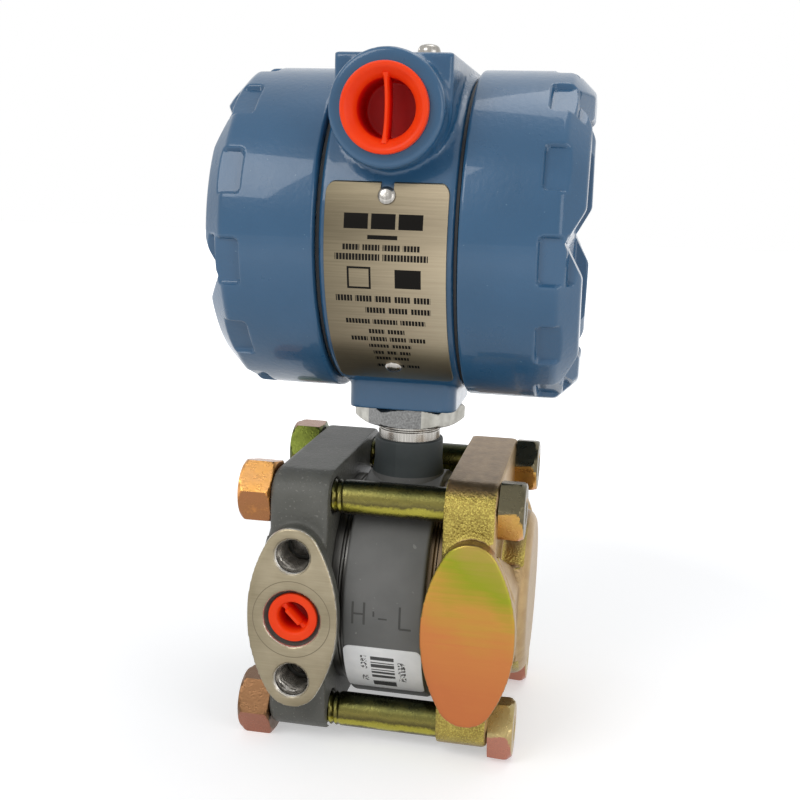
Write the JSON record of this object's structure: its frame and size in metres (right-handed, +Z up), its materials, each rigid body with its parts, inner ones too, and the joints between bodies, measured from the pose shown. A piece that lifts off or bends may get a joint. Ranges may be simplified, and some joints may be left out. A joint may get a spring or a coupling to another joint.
{
  "type": "pressure transmitter",
  "caption": "Two-flange pressure transmitter: electronics housing with screwed end covers on a hexagon lock nut, over a sensor drum bolted between two cast process flanges.",
  "frame": {"origin": "on the axis of the neck, level with the lowest flats of the flange nuts and corners of the bolt heads", "axes": "+Z up the neck, +X along the two covers towards the low side flange, -Y out of the process connection and the nameplate"},
  "size_m": [0.1112, 0.1128, 0.2229],
  "materials": {
    "blue_enamel": "gloss enamel over cast aluminium",
    "nameplate_steel": "brushed",
    "grey_paint": "matt paint over steel",
    "yellow_chromate": "rough cast, yellow chromate",
    "bolt_chromate": "yellow chromate",
    "bright_steel": "machined",
    "cell_steel": "machined",
    "gasket_white": "matt",
    "seal_rubber": "matt",
    "orange_plastic": "satin",
    "black_plastic": "satin",
    "terminal_brass": "plated",
    "board_green": "satin",
    "part_black": "satin",
    "ribbon_grey": "satin",
    "sticker_white": "matt paper"
  },
  "bodies": {
    "base": {"sensor_module": "grey_paint", "sensing_cell": "cell_steel", "diaphragm_high": "cell_steel", "diaphragm_low": "cell_steel", "gasket_high": "gasket_white", "gasket_low": "gasket_white", "flange_high": "grey_paint", "flange_low": "yellow_chromate", "flange_bolts": "bolt_chromate", "flange_nuts": "bolt_chromate", "vent_seat": "bright_steel", "sensor_header": "cell_steel", "module_sticker": "sticker_white"},
    "lock_nut": {"lock_nut": "bright_steel"},
    "housing": {"housing": "blue_enamel", "nameplate": "nameplate_steel", "drive_screws": "bright_steel", "zero_adjuster": "bright_steel", "span_adjuster": "bright_steel", "ground_clamp": "bright_steel", "ground_screw": "bright_steel", "terminal_block": "black_plastic", "terminal_clamps": "terminal_brass", "terminal_screws": "terminal_brass", "terminal_fixings": "bright_steel", "inner_ground_screw": "bright_steel", "power_board": "board_green", "amplifier_board": "board_green", "standoffs": "bright_steel", "board_screws": "bright_steel", "board_components": "part_black", "ribbon_lead": "ribbon_grey"},
    "right_turn": {"cover_seal_right": "seal_rubber"},
    "right_cover": {"cover_right": "blue_enamel"},
    "left_turn": {"cover_seal_left": "seal_rubber"},
    "left_cover": {"cover_left": "blue_enamel"},
    "front_plug": {"conduit_plug_front": "orange_plastic"},
    "rear_plug": {"conduit_plug_rear": "orange_plastic"},
    "port_plug": {"port_plug": "orange_plastic"},
    "vent_stem": {"vent_stem": "bright_steel"}
  },
  "joints": [
    {"name": "housing_turn", "type": "hinge", "parent": "base", "child": "housing", "pos_m": [0, 0, 0.11], "axis": [0, 0, 1], "range_deg": [-90, 90]},
    {"name": "lock_nut_turn", "type": "hinge", "parent": "base", "child": "lock_nut", "pos_m": [0, 0, 0.106], "axis": [0, 0, 1], "range_deg": [0, 360]},
    {"name": "cover_right_turn", "type": "hinge", "parent": "housing", "child": "right_turn", "pos_m": [0.03, 0, 0.1656], "axis": [1, 0, 0], "range_deg": [0, 2880]},
    {"name": "cover_right_travel", "type": "slide", "parent": "right_turn", "child": "right_cover", "axis": [1, 0, 0], "range_m": [0, 0.016]},
    {"name": "cover_left_turn", "type": "hinge", "parent": "housing", "child": "left_turn", "pos_m": [-0.03, 0, 0.1656], "axis": [-1, 0, 0], "range_deg": [0, 2880]},
    {"name": "cover_left_travel", "type": "slide", "parent": "left_turn", "child": "left_cover", "axis": [-1, 0, 0], "range_m": [0, 0.016]},
    {"name": "front_plug_pull", "type": "slide", "parent": "housing", "child": "front_plug", "axis": [0, -1, 0], "range_m": [0, 0.016]},
    {"name": "rear_plug_pull", "type": "slide", "parent": "housing", "child": "rear_plug", "axis": [0, 1, 0], "range_m": [0, 0.016]},
    {"name": "port_plug_pull", "type": "slide", "parent": "base", "child": "port_plug", "axis": [0, -1, 0], "range_m": [0, 0.012]},
    {"name": "vent_stem_turn", "type": "hinge", "parent": "base", "child": "vent_stem", "pos_m": [-0.0278, 0.05, 0.04623], "axis": [0, 1, 0], "range_deg": [0, 360]}
  ],
  "couplings": [
    {"joint": "cover_right_travel", "follows": "cover_right_turn", "m_per_rad": 0.0003183},
    {"joint": "cover_left_travel", "follows": "cover_left_turn", "m_per_rad": 0.0003183}
  ]
}
